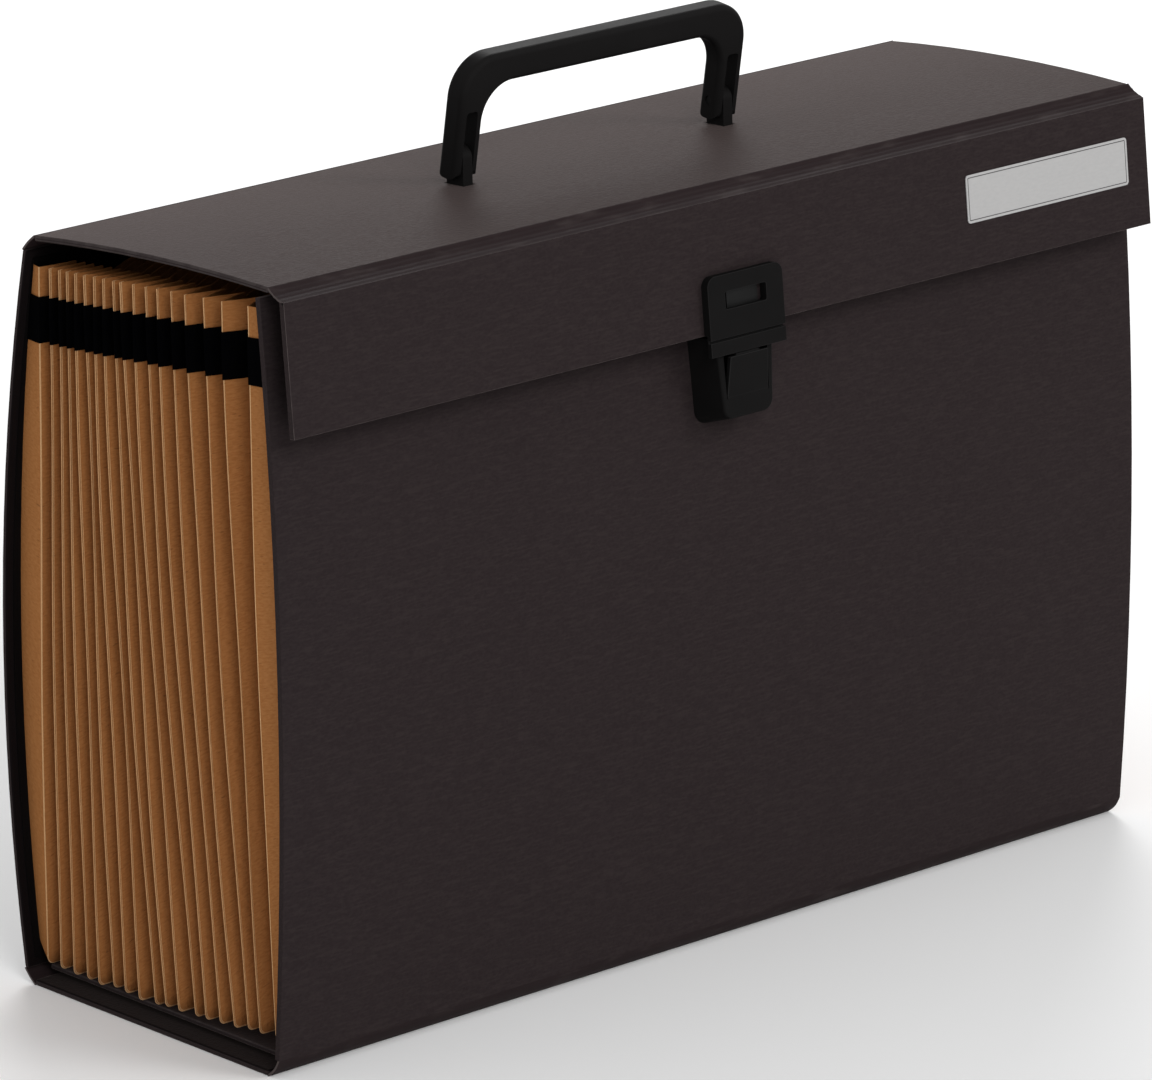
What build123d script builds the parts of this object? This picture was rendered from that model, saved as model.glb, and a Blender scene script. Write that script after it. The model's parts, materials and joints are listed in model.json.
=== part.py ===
"""A portable file box: a wrapped board cover round an accordion of kraft pockets, with a bail handle
on its lid and a press latch on its front.

Millimetres, +Z up, +X along the long side, -Y to the front. The origin is the middle of the base's
underside. Sections of the cover are drawn in the YZ plane and drawn out along X.
"""
from build123d import *
from math import sqrt
import os

os.makedirs("parts", exist_ok=True)

# ---- the cover ----
cover_length = 390.0
board = 2.0                 # a board with its covering paper
base_depth = 110.8
back_fold = (5.0, 4.6)      # run and rise of the fold between base and back panel
back_height = 239.4
back_lean = 2.4             # how far the back panel's head stands behind its foot
back_bow = 10.5
lid_fold = (5.5, 5.5)       # run and rise of the fold between back panel and lid
lid_depth = 108.5
lid_rise = 6.3              # how much higher the lid is at the front
lid_bow = 2.0
flap_fold = (7.0, 3.4)      # run and drop of the fold between lid and flap
flap_height = 42.4
flap_lean = 5.6
front_fold = (5.0, 6.4)     # run and rise of the fold between base and front panel
front_setback = 3.8         # the front panel's head behind the lid's front edge
front_bow = 5.6
lid_clearance = 1.6         # between the front panel's head and the lid lining
strip = 0.8                 # the folding strips of paper
lid_strip_reach = 0.80      # how far a strip reaches across its fold, as a share of the fold
flap_strip_reach = 0.76
front_strip_reach = 0.80

# ---- linings and the card under the pockets ----
lining = 0.5
glue = 0.1                  # between two glued sheets
lining_inset = 3.0
card = 1.6
card_gap = 2.0              # air between the base and the card

# ---- the accordion ----
pockets = 18
foot_recess = 4.0           # from the cover's end to the pleats' ridges: at their foot,
belly_recess = 4.5          # at the belly
rim_recess = 2.2            # and at the rim
pleat_depth = 14.0
gusset_shift = 1.8          # a pleat's paper, measured across the ridge
band_shift = 1.5
band_gap = 0.3
sheet = 0.5
sheet_gap = 0.4             # between a sheet and what it hangs beside
bottom_pleat = 8.0
head_drop = 5.5             # the pockets' rim below the back panel's head
rim_rise = 9.0              # how much higher the rim is at the front
belly_height = 118.0        # where the panels bow furthest from the pleats
belly_gap = 0.065           # how far a panel draws its pleat open there, as a share of the depth
belly_loose = 0.13          # how strongly the front pockets stand open there
rim_loose = 0.28            # and at the rim
loose_power = 5
band_drop = 9.8             # the band's head below the rim
band_height = 15.4

# ---- the handle ----
handle_length = 128.5
handle_shift = -3.0         # from the middle of the lid
handle_lean = 10.0          # degrees that it stands forward of square to the lid
leg_width = 10.6
handle_depth = 8.0
grip_height = 10.2
handle_rise = 34.5          # top of the grip above the pivot
outer_corner = 14.0
inner_corner = 12.0
handle_edge = 2.0
pivot_rise = 8.4            # pivot above the lid
leg_drop = 6.2              # how far the legs reach below the pivot
leg_corner = 3.0
lug_width = 4.2
lug_round = 4.0
lug_side_gap = 0.35
slot_rise = 16.5
slot_corner = 1.2
pin_radius = 1.5
pin_gap = 0.15
pin_inset = 0.5             # how far a pin's ends lie inside the leg
foot_width = 12.0
foot_thick = 1.5
backing_width = 18.0
backing_thick = 1.0
backing_seat = 0.15         # under the lid's lining, whose bow is slight here

# ---- the latch, in a plane on the flap's outer face at its foot: out of the flap, up the flap ----
hasp_width = 34.0
hasp_depth = 3.0
hasp_top = 19.0
hasp_foot = -1.5
hasp_corner = 3.5
window_width = 18.6
window_height = 5.8
window_foot = 7.6
window_corner = 0.8
groove = 0.8
groove_depth = 1.1
lip_foot = -7.0
lip_back = 1.3
steel = 1.0
steel_width = 14.0
steel_foot = -6.8
steel_head = 17.0
steel_seat = 0.05
catch_width = 11.0
catch_foot = -5.8
catch_height = 2.8
play = 0.3                  # running gap inside the latch
case_width = 25.8           # of the case's front, at its head and at its foot
case_foot_width = 21.8
case_flare = 1.8            # how much wider each side is at the panel
case_front = 0.9
case_head = -1.8
case_notch = -0.6
case_foot = -28.4
case_drop = 3.5             # how much lower the foot is at the panel
case_back = -16.0           # behind the panel's face, to be trimmed to it
panel_cut = 15.0            # how deep that trim reaches behind the panel's face
hollow_back = -9.5
case_wall = 1.6
case_corner = 4.0
case_edge = 0.8
tongue_width = 16.8
tongue_foot_width = 18.6
tongue_head = -8.0
tongue_foot = -21.5
tongue_proud = 1.9
tongue_thick = 1.6
slit = 1.5
nib_bite = 0.7
arm = 1.2                   # the catch's arm behind the tongue
arm_back = -2.4
web_gap = 0.6
rivet_radius = 1.5
rivet_head = 3.0
rivet_head_thick = 0.8
rivet_depth = 1.5
hasp_rivet_span = 24.0
hasp_rivet_height = 5.0
latch_rivet_span = 17.0
latch_rivet_height = -15.0
plate_thick = 1.0
hasp_plate_height = 10.0
latch_plate_height = 24.0

# ---- the label ----
label_length = 78.0
label_height = 16.0
label_thick = 0.3
label_end_gap = 10.0        # from the flap's right end
label_rise = 15.0           # above the flap's foot


class Bow:
    """The outer face of a bowed panel: an arc in the YZ plane from foot to head."""

    def __init__(self, foot, head, bow, outward):
        self.foot = Vector(*foot)
        self.head = Vector(*head)
        chord = self.head - self.foot
        self.radius = (chord.length ** 2 / 4 + bow ** 2) / (2 * bow)
        normal = Vector(-chord.Y, chord.X).normalized()
        self.side = 1 if normal.dot(Vector(*outward)) > 0 else -1
        self.centre = (self.foot + self.head) / 2 - normal * self.side * (self.radius - bow)
        self.crown = self.centre + normal * self.side * self.radius

    def under(self, point, depth):
        """The point of the arc moved inward by depth."""
        ray = (point - self.centre).normalized()
        return self.centre + ray * (self.radius - depth)

    def y_at(self, z, depth):
        """Y at height z, depth under the outer face, for an upright panel."""
        reach = sqrt((self.radius - depth) ** 2 - (z - self.centre.Y) ** 2)
        return self.centre.X + reach if self.crown.X > self.centre.X else self.centre.X - reach

    def z_at(self, y, depth):
        """Z at y, depth under the outer face, for a level panel."""
        return self.centre.Y + sqrt((self.radius - depth) ** 2 - (y - self.centre.X) ** 2)


def layer(bow, outer, inner, trim=0.0):
    """The section of a sheet between two depths under a bow, its ends cut back by trim."""
    along = (bow.head - bow.foot).normalized() * trim
    ends = (bow.foot + along, bow.crown, bow.head - along)
    top = [bow.under(point, outer) for point in ends]
    low = [bow.under(point, inner) for point in ends]
    with BuildSketch(Plane.YZ) as section:
        with BuildLine():
            ThreePointArc(*top)
            Line(top[2], low[2])
            ThreePointArc(*low)
            Line(low[0], top[0])
        make_face()
    return section.sketch


def polygon(plane, points):
    """A flat face through the points, in the plane."""
    with BuildSketch(plane) as section:
        with BuildLine():
            Polyline(*points, close=True)
        make_face()
    return section.sketch


def fold_strip(near, far, reach=1.0):
    """The section of a fold's paper, from the end of one board part or all of the way to the next.

    Each board end is given as its outer corner and the point a strip's thickness inside it.
    """
    outer_end = near[0] + (far[0] - near[0]) * reach
    inner_end = near[1] + (far[1] - near[1]) * reach
    corners = (near[0], outer_end, inner_end, near[1])
    return polygon(Plane.YZ, [(corner.X, corner.Y) for corner in corners])


# ---- where the cover's boards run, worked out from base to flap ----
base_back = (base_depth / 2, 0.0)
base_front = (-base_depth / 2, 0.0)
back_foot = (base_back[0] + back_fold[0], back_fold[1])
back_head = (back_foot[0] + back_lean, back_foot[1] + back_height)
lid_back = (back_head[0] - lid_fold[0], back_head[1] + lid_fold[1])
lid_front = (lid_back[0] - lid_depth, lid_back[1] + lid_rise)
flap_head = (lid_front[0] - flap_fold[0], lid_front[1] - flap_fold[1])
flap_foot = (flap_head[0] - flap_lean, flap_head[1] - flap_height)
front_foot = (base_front[0] - front_fold[0], front_fold[1])
lid_bend = Bow(lid_back, lid_front, lid_bow, (0, 1))
front_head_y = lid_front[0] + front_setback
front_head = (front_head_y, lid_bend.z_at(front_head_y, board + glue + lining) - lid_clearance)
back_bend = Bow(back_foot, back_head, back_bow, (1, 0))
front_bend = Bow(front_foot, front_head, front_bow, (-1, 0))

# ---- cover boards ----
with BuildPart() as base_board:
    extrude(polygon(Plane.YZ, [base_front, base_back, (base_back[0], board), (base_front[0], board)]),
            amount=cover_length / 2, both=True)

with BuildPart() as back_board:
    extrude(layer(back_bend, 0, board), amount=cover_length / 2, both=True)

with BuildPart() as back_lining:
    extrude(layer(back_bend, board + glue, board + glue + lining, lining_inset),
            amount=cover_length / 2 - lining_inset, both=True)

# The latch plane stands on the flap's outer face, at the middle of its foot edge.
flap_up = (Vector(*flap_head) - Vector(*flap_foot)).normalized()
flap_out = Vector(-flap_up.Y, flap_up.X)
flap_origin = (0, flap_foot[0], flap_foot[1])
flap_plane = Plane(flap_origin, x_dir=(1, 0, 0), z_dir=(0, flap_out.X, flap_out.Y))
latch_section = Plane(flap_origin, x_dir=(0, flap_out.X, flap_out.Y), z_dir=(-1, 0, 0))
hasp_rivet_places = [(-hasp_rivet_span / 2, hasp_rivet_height), (hasp_rivet_span / 2, hasp_rivet_height)]
latch_rivet_places = [(-latch_rivet_span / 2, 0), (latch_rivet_span / 2, 0)]
flap_length = (Vector(*flap_head) - Vector(*flap_foot)).length

# The latch case is riveted square to the front panel, whose face lies behind the latch plane.
rivet_z = (Vector(*flap_foot) + flap_up * latch_rivet_height).Y
panel_spot = Vector(front_bend.y_at(rivet_z, 0), rivet_z)
panel_out = (panel_spot - front_bend.centre).normalized()
panel_plane = Plane((0, panel_spot.X, panel_spot.Y), x_dir=(1, 0, 0), z_dir=(0, panel_out.X, panel_out.Y))
panel_inside = -board - glue - lining - glue

with BuildPart() as front_board:
    extrude(layer(front_bend, 0, board), amount=cover_length / 2, both=True)
    with BuildSketch(panel_plane):
        with Locations(*latch_rivet_places):
            Circle(rivet_radius + glue)
    extrude(amount=-2 * board, mode=Mode.SUBTRACT)

with BuildPart() as front_lining:
    extrude(layer(front_bend, board + glue, board + glue + lining, lining_inset),
            amount=cover_length / 2 - lining_inset, both=True)
    with BuildSketch(panel_plane):
        with Locations(*latch_rivet_places):
            Circle(rivet_radius + glue)
    extrude(amount=-2 * board, mode=Mode.SUBTRACT)

# The handle stands square on the crown of the lid. Its lugs come up through the lid and its lining.
lid_up = (lid_bend.crown - lid_bend.centre).normalized()
lid_crown = (handle_shift, lid_bend.crown.X, lid_bend.crown.Y)
lid_plane = Plane(lid_crown, x_dir=(1, 0, 0), z_dir=(0, lid_up.X, lid_up.Y))
lid_inside = -board - glue - lining
leg_x = (handle_length - leg_width) / 2
leg_places = [(-leg_x, 0), (leg_x, 0)]
lug_hole = (lug_width + 2 * glue, 2 * lug_round + 2 * glue)

with BuildPart() as lid_board:
    extrude(layer(lid_bend, 0, board), amount=cover_length / 2, both=True)
    with BuildSketch(lid_plane):
        with Locations(*leg_places):
            Rectangle(*lug_hole)
    extrude(amount=3 * board, both=True, mode=Mode.SUBTRACT)

with BuildPart() as lid_lining:
    extrude(layer(lid_bend, board + glue, board + glue + lining, lining_inset),
            amount=cover_length / 2 - lining_inset, both=True)
    with BuildSketch(lid_plane):
        with Locations(*leg_places):
            Rectangle(*lug_hole)
    extrude(amount=3 * board, both=True, mode=Mode.SUBTRACT)

with BuildPart() as flap_board:
    with BuildSketch(flap_plane):
        with Locations((0, flap_length / 2)):
            Rectangle(cover_length, flap_length)
        with Locations(*hasp_rivet_places):
            Circle(rivet_radius + glue, mode=Mode.SUBTRACT)
    extrude(amount=-board)

# ---- folding strips, each fixed to one board and stopping short of a board that turns ----
base_back_end = (Vector(*base_back), Vector(base_back[0], strip))
base_front_end = (Vector(*base_front), Vector(base_front[0], strip))
back_foot_end = (back_bend.foot, back_bend.under(back_bend.foot, strip))
back_head_end = (back_bend.head, back_bend.under(back_bend.head, strip))
lid_back_end = (lid_bend.foot, lid_bend.under(lid_bend.foot, strip))
lid_front_end = (lid_bend.head, lid_bend.under(lid_bend.head, strip))
flap_head_end = (Vector(*flap_head), Vector(*flap_head) - flap_out * strip)
front_foot_end = (front_bend.foot, front_bend.under(front_bend.foot, strip))

with BuildPart() as base_back_hinge:
    extrude(fold_strip(base_back_end, back_foot_end), amount=cover_length / 2, both=True)

with BuildPart() as base_front_hinge:
    extrude(fold_strip(base_front_end, front_foot_end, front_strip_reach),
            amount=cover_length / 2, both=True)

with BuildPart() as lid_hinge_strip:
    extrude(fold_strip(back_head_end, lid_back_end, lid_strip_reach),
            amount=cover_length / 2, both=True)

with BuildPart() as flap_hinge_strip:
    extrude(fold_strip(lid_front_end, flap_head_end, flap_strip_reach),
            amount=cover_length / 2, both=True)

# ---- the card under the pockets ----
depth_inside = board + glue + lining + sheet_gap
card_foot = board + card_gap
card_head = card_foot + card
card_back = back_bend.y_at(card_head + lining_inset, depth_inside) - back_fold[0] / 2
card_front = front_bend.y_at(front_foot[1], depth_inside) + front_fold[0] / 2
card_length = cover_length - 2 * foot_recess - 2 * lining_inset

with BuildPart() as floor_board:
    with BuildSketch(Plane.XY.offset(card_foot)):
        with Locations((0, (card_back + card_front) / 2)):
            Rectangle(card_length, card_back - card_front)
    extrude(amount=card)

# ---- the accordion: where each fold stands, at three heights ----
pleat_foot = card_head + sheet_gap
rim_back_height = back_head[1] - head_drop
pleat_head = rim_back_height + rim_rise
band_low = rim_back_height - 2 * band_height
heights = (pleat_foot, belly_height, pleat_head)
ridge_x = [cover_length / 2 - recess for recess in (foot_recess, belly_recess, rim_recess)]
sheet_half = min(ridge_x) - pleat_depth - gusset_shift - sheet_gap


def spread(share, height):
    """Where a fold stands from the back (0) to the front (1), at one of the three heights."""
    if height == pleat_foot or share in (0, 1):
        return share
    gap, loose = (belly_gap, belly_loose) if height == belly_height else (0, rim_loose)
    return gap + (1 - 2 * gap - loose) * share + loose * share ** loose_power


def fold_y(share, height):
    """Y of a fold at one of the three heights."""
    rear_height = max(height, back_foot[1] + lining_inset)
    fore_height = max(height, front_foot[1] + lining_inset)
    rear = back_bend.y_at(rear_height, depth_inside)
    fore = front_bend.y_at(fore_height, depth_inside)
    return rear + (fore - rear) * spread(share, height)


def pleat_line(height):
    """The zigzag of the left end's pleats, at one of the three heights."""
    ridge = -ridge_x[heights.index(height)]
    return [(ridge + (pleat_depth if step % 2 == 0 else 0), fold_y(step / (2 * pockets), height))
            for step in range(2 * pockets + 1)]


def line_between(height):
    """The zigzag at any height from the belly to the head, on the straight lines of its paper."""
    part = (height - belly_height) / (pleat_head - belly_height)
    pairs = zip(pleat_line(belly_height), pleat_line(pleat_head))
    return [(low[0] * (1 - part) + high[0] * part, low[1] * (1 - part) + high[1] * part)
            for low, high in pairs]


def pleats(height, line, inner, outer):
    """A section through the pleats, between two shifts of their line towards +X."""
    near = [(x + outer, y) for x, y in line]
    far = [(x + inner, y) for x, y in reversed(line)]
    return polygon(Plane.XY.offset(height), near + far)


# The rim and the band rise to the front, side by side.
rim_front = Vector(front_bend.y_at(pleat_head, depth_inside), pleat_head)
rim_back = Vector(back_bend.y_at(rim_back_height, depth_inside), rim_back_height)
rim_run = (rim_back - rim_front).normalized()
rim_plane = Plane((0, rim_front.X, rim_front.Y), x_dir=(1, 0, 0), z_dir=(0, -rim_run.Y, rim_run.X))

with BuildPart() as left_gusset:
    for height in heights:
        add(pleats(height, pleat_line(height), gusset_shift, 0))
    loft(ruled=True)
    split(bisect_by=rim_plane, keep=Keep.BOTTOM)

with BuildPart() as left_band:
    for height in (band_low, pleat_head):
        add(pleats(height, line_between(height), -band_gap, -band_gap - band_shift))
    loft(ruled=True)
    split(bisect_by=rim_plane.offset(-band_drop), keep=Keep.BOTTOM)
    split(bisect_by=rim_plane.offset(-band_drop - band_height), keep=Keep.TOP)

with BuildPart() as right_gusset:
    add(mirror(left_gusset.part, about=Plane.YZ))

with BuildPart() as right_band:
    add(mirror(left_band.part, about=Plane.YZ))

with BuildPart() as bottom_gusset:
    low_line = []
    for step in range(2 * pockets + 1):
        z = pleat_foot + (bottom_pleat if step % 2 == 0 else 0)
        low_line.append((fold_y(step / (2 * pockets), pleat_foot), z))
    high_line = [(y, z + gusset_shift) for y, z in reversed(low_line)]
    extrude(polygon(Plane.YZ, low_line + high_line), amount=sheet_half, both=True)

# ---- the sheets between the pockets, each glued into one inner fold ----
divider_foot = pleat_foot + bottom_pleat + gusset_shift + sheet_gap
dividers = []
for number in range(1, pockets):
    share = number / pockets
    middle = [(fold_y(share, pleat_foot), divider_foot),
              (fold_y(share, belly_height), belly_height),
              (fold_y(share, pleat_head), pleat_head)]
    front_side = [(y - sheet / 2, z) for y, z in middle]
    back_side = [(y + sheet / 2, z) for y, z in reversed(middle)]
    with BuildPart() as divider:
        extrude(polygon(Plane.YZ, front_side + back_side), amount=sheet_half, both=True)
        split(bisect_by=rim_plane, keep=Keep.BOTTOM)
    divider.part.label = f"divider_{number:02d}"
    dividers.append(divider.part)

# ---- the handle, drawn about its pivot: along X and up its legs, or back and up them ----
leg_foot = -leg_drop
leg_middle = (handle_rise + leg_foot) / 2
opening_top = handle_rise - grip_height
slot_width = lug_width + 2 * lug_side_gap
slot_height = slot_rise + 2 * leg_drop
leg_up = lid_up.rotate(Axis.Z, handle_lean)
pivot_plane = lid_plane.offset(pivot_rise)
pivot = pivot_plane.origin
handle_plane = Plane(pivot, x_dir=(1, 0, 0), z_dir=(0, -leg_up.Y, leg_up.X))
leg_side_plane = Plane(pivot, x_dir=(0, leg_up.Y, -leg_up.X), z_dir=(1, 0, 0))
lug_side_plane = Plane(pivot, x_dir=(0, lid_up.Y, -lid_up.X), z_dir=(1, 0, 0))

with BuildPart() as handle_grip:
    with BuildSketch(handle_plane) as bail:
        with Locations((0, leg_middle)):
            Rectangle(handle_length, handle_rise - leg_foot)
        fillet(bail.vertices().group_by(Axis.Y)[-1], outer_corner)
        with BuildSketch(handle_plane, mode=Mode.SUBTRACT) as gap:
            with Locations((0, opening_top / 2 + leg_foot)):
                Rectangle(handle_length - 2 * leg_width, opening_top - 2 * leg_foot)
            fillet(gap.vertices().group_by(Axis.Y)[-1], inner_corner)
    extrude(amount=handle_depth / 2, both=True)
    long_edges = handle_grip.faces().filter_by(handle_plane).edges()
    fillet(long_edges.filter_by(lambda edge: edge.center().Z > pivot.Z), handle_edge)
    with BuildSketch(leg_side_plane) as leg_side:
        with Locations((0, leg_middle)):
            Rectangle(handle_depth, handle_rise - leg_foot)
        fillet(leg_side.vertices().group_by(Axis.Y)[0], leg_corner)
    extrude(amount=handle_length, both=True, mode=Mode.INTERSECT)
    with BuildSketch(handle_plane):
        with Locations(*[(x, slot_rise - slot_height / 2) for x, y in leg_places]):
            RectangleRounded(slot_width, slot_height, slot_corner)
    extrude(amount=handle_depth, both=True, mode=Mode.SUBTRACT)
    with BuildSketch(leg_side_plane):
        Circle(pin_radius)
    extrude(amount=handle_length / 2 - pin_inset, both=True, mode=Mode.SUBTRACT)

with BuildPart() as handle_pins:
    for x, y in leg_places:
        with BuildSketch(leg_side_plane.offset(x)):
            Circle(pin_radius)
        extrude(amount=leg_width / 2 - pin_inset, both=True)

backing_top = lid_inside - backing_seat
foot_top = backing_top - backing_thick - glue
lug_drop = pivot_rise - foot_top
lugs = []
for name, (x, y) in zip(("handle_lug_left", "handle_lug_right"), leg_places):
    with BuildPart() as lug:
        with BuildSketch(lug_side_plane.offset(x)):
            Circle(lug_round)
            with Locations((0, -lug_drop / 2)):
                Rectangle(2 * lug_round, lug_drop)
            Circle(pin_radius + pin_gap, mode=Mode.SUBTRACT)
        extrude(amount=lug_width / 2, both=True)
        with BuildSketch(lid_plane.offset(foot_top)):
            with Locations((x, y)):
                Rectangle(foot_width, 2 * lug_round)
        extrude(amount=-foot_thick)
    lug.part.label = name
    lugs.append(lug.part)

with BuildPart() as handle_backing_plate:
    with BuildSketch(lid_plane.offset(backing_top)):
        Rectangle(handle_length, backing_width)
        with Locations(*leg_places):
            Rectangle(*lug_hole, mode=Mode.SUBTRACT)
    extrude(amount=-backing_thick)

# ---- the hasp on the flap ----
hasp_height = hasp_top - lip_foot
lip_head = hasp_foot - groove

with BuildPart() as hasp_plate:
    with BuildSketch(flap_plane) as outline:
        with Locations((0, (hasp_top + lip_foot) / 2)):
            Rectangle(hasp_width, hasp_height)
        fillet(outline.vertices().group_by(Axis.Y)[-1], hasp_corner)
        with Locations((0, window_foot + window_height / 2)):
            RectangleRounded(window_width, window_height, window_corner, mode=Mode.SUBTRACT)
    extrude(amount=hasp_depth)
    with BuildSketch(flap_plane):
        with Locations((0, (steel_head + play + lip_foot) / 2)):
            Rectangle(steel_width + 2 * play, steel_head + play - lip_foot)
        with Locations((0, lip_foot / 2)):
            Rectangle(hasp_width, -lip_foot)
    extrude(amount=lip_back, mode=Mode.SUBTRACT)
    with BuildSketch(flap_plane.offset(hasp_depth - groove_depth)):
        with Locations((0, (hasp_foot + lip_head) / 2)):
            Rectangle(hasp_width, groove)
    extrude(amount=groove_depth, mode=Mode.SUBTRACT)
    with BuildSketch(flap_plane):
        with Locations(*hasp_rivet_places):
            Circle(rivet_radius)
    extrude(amount=rivet_depth, mode=Mode.SUBTRACT)

with BuildPart() as hasp_strip:
    with BuildSketch(flap_plane.offset(steel_seat)):
        with Locations((0, (steel_head + steel_foot) / 2)):
            Rectangle(steel_width, steel_head - steel_foot)
        with Locations((0, catch_foot + catch_height / 2)):
            Rectangle(catch_width, catch_height, mode=Mode.SUBTRACT)
    extrude(amount=steel)

hasp_inside = -board - glue

with BuildPart() as hasp_backing_plate:
    with BuildSketch(flap_plane.offset(hasp_inside)):
        with Locations((0, hasp_rivet_height)):
            Rectangle(hasp_width, hasp_plate_height)
        with Locations(*hasp_rivet_places):
            Circle(rivet_radius, mode=Mode.SUBTRACT)
    extrude(amount=-plate_thick)

with BuildPart() as hasp_rivets:
    with BuildSketch(flap_plane.offset(rivet_depth)):
        with Locations(*hasp_rivet_places):
            Circle(rivet_radius)
    extrude(amount=hasp_inside - plate_thick - rivet_depth)
    with BuildSketch(flap_plane.offset(hasp_inside - plate_thick)):
        with Locations(*hasp_rivet_places):
            Circle(rivet_head)
    extrude(amount=-rivet_head_thick)

# ---- the latch case and its press tongue on the front panel ----
tongue_front = case_front + tongue_proud
shoulder = lip_foot - play


def case_outline(depth, wider, lower, corner):
    """The case's outline at a depth out of the latch plane."""
    head = case_width / 2 + wider
    foot = case_foot_width / 2 + wider
    with BuildSketch(flap_plane.offset(depth)) as outline:
        with BuildLine():
            Polyline((-head, case_head), (head, case_head), (foot, case_foot - lower),
                     (-foot, case_foot - lower), close=True)
        make_face()
        fillet(outline.vertices().group_by(Axis.Y)[0], corner)
    return outline.sketch


with BuildPart() as latch_case:
    add(case_outline(case_back, case_flare, case_drop, case_corner + case_flare))
    add(case_outline(case_front, 0, 0, case_corner))
    loft()
    fillet(latch_case.faces().sort_by(Axis.Y)[0].edges(), case_edge)
    notch_side = [(case_notch, case_head + play), (case_notch, shoulder), (hasp_depth, shoulder),
                  (hasp_depth, case_head + play)]
    extrude(polygon(latch_section, notch_side), amount=hasp_width, both=True, mode=Mode.SUBTRACT)
    hollow_side = [(hollow_back, case_head), (case_notch - case_wall, case_head),
                   (case_notch - case_wall, shoulder - case_wall),
                   (case_front - case_wall, shoulder - case_wall),
                   (case_front - case_wall, tongue_foot - play), (hollow_back, tongue_foot - play)]
    extrude(polygon(latch_section, hollow_side), amount=case_foot_width / 2 - case_wall, both=True,
            mode=Mode.SUBTRACT)
    with BuildSketch(flap_plane.offset(case_notch - case_wall)):
        with BuildLine():
            Polyline((-tongue_width / 2 - slit, lip_foot), (tongue_width / 2 + slit, lip_foot),
                     (tongue_foot_width / 2 + play, tongue_foot - play),
                     (-tongue_foot_width / 2 - play, tongue_foot - play), close=True)
        make_face()
        with Locations((0, lip_foot / 2)):
            Rectangle(catch_width + 2 * play, -lip_foot)
    extrude(amount=2 * hasp_depth, mode=Mode.SUBTRACT)
    extrude(layer(front_bend, -glue, panel_cut), amount=cover_length / 2, both=True, mode=Mode.SUBTRACT)
    with BuildSketch(panel_plane):
        with Locations(*latch_rivet_places):
            Circle(rivet_radius)
    extrude(amount=rivet_depth, mode=Mode.SUBTRACT)

nib_top = catch_foot + catch_height - play
nib_foot = catch_foot + play
nib_front = steel_seat + nib_bite
web_top = steel_foot - web_gap
web_foot = web_top - arm
web_front = tongue_front - tongue_thick / 2
arm_front = arm_back + arm

with BuildPart() as latch_tongue:
    tongue_side = [(case_front - tongue_thick, tongue_foot), (case_front, tongue_foot),
                   (tongue_front, tongue_head), (tongue_front - tongue_thick, tongue_head)]
    extrude(polygon(latch_section, tongue_side), amount=tongue_foot_width / 2, both=True)
    with BuildSketch(flap_plane.offset(case_front - tongue_thick)):
        with BuildLine():
            Polyline((-tongue_width / 2, tongue_head), (tongue_width / 2, tongue_head),
                     (tongue_foot_width / 2, tongue_foot),
                     (-tongue_foot_width / 2, tongue_foot), close=True)
        make_face()
    extrude(amount=2 * hasp_depth, mode=Mode.INTERSECT)
    arm_side = [(web_front, web_foot), (arm_back, web_foot), (arm_back, nib_top), (nib_front, nib_top),
                (nib_front, nib_foot), (arm_front, nib_foot), (arm_front, web_top), (web_front, web_top)]
    extrude(polygon(latch_section, arm_side), amount=catch_width / 2 - play, both=True)

with BuildPart() as latch_backing_plate:
    with BuildSketch(panel_plane.offset(panel_inside)):
        Rectangle(case_width, latch_plate_height)
        with Locations(*latch_rivet_places):
            Circle(rivet_radius, mode=Mode.SUBTRACT)
    extrude(amount=-plate_thick)

with BuildPart() as latch_rivets:
    with BuildSketch(panel_plane.offset(rivet_depth)):
        with Locations(*latch_rivet_places):
            Circle(rivet_radius)
    extrude(amount=panel_inside - plate_thick - rivet_depth)
    with BuildSketch(panel_plane.offset(panel_inside - plate_thick)):
        with Locations(*latch_rivet_places):
            Circle(rivet_head)
    extrude(amount=-rivet_head_thick)

# ---- the plain label ----
with BuildPart() as blank_label:
    with BuildSketch(flap_plane.offset(steel_seat)):
        with Locations((cover_length / 2 - label_end_gap - label_length / 2,
                        label_rise + label_height / 2)):
            Rectangle(label_length, label_height)
    extrude(amount=label_thick)

# ---- write every piece ----
made = {
    "base_board": base_board, "back_board": back_board, "front_board": front_board,
    "lid_board": lid_board, "flap_board": flap_board, "base_back_hinge": base_back_hinge,
    "base_front_hinge": base_front_hinge, "lid_hinge_strip": lid_hinge_strip,
    "flap_hinge_strip": flap_hinge_strip, "back_lining": back_lining,
    "front_lining": front_lining, "lid_lining": lid_lining, "floor_board": floor_board,
    "left_gusset": left_gusset, "right_gusset": right_gusset, "bottom_gusset": bottom_gusset,
    "left_band": left_band, "right_band": right_band, "handle_grip": handle_grip,
    "handle_pins": handle_pins, "handle_backing_plate": handle_backing_plate,
    "hasp_plate": hasp_plate, "hasp_strip": hasp_strip, "hasp_rivets": hasp_rivets,
    "hasp_backing_plate": hasp_backing_plate, "latch_case": latch_case,
    "latch_tongue": latch_tongue, "latch_rivets": latch_rivets,
    "latch_backing_plate": latch_backing_plate, "blank_label": blank_label,
}
for name, piece in made.items():
    piece.part.label = name
    export_step(piece.part, f"parts/{name}.step")
for piece in lugs + dividers:
    export_step(piece, f"parts/{piece.label}.step")
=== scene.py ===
"""How each piece of the portable file box looks, in metres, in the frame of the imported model."""

import json
import random
from math import asin, cos, pi, radians, sin

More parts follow.
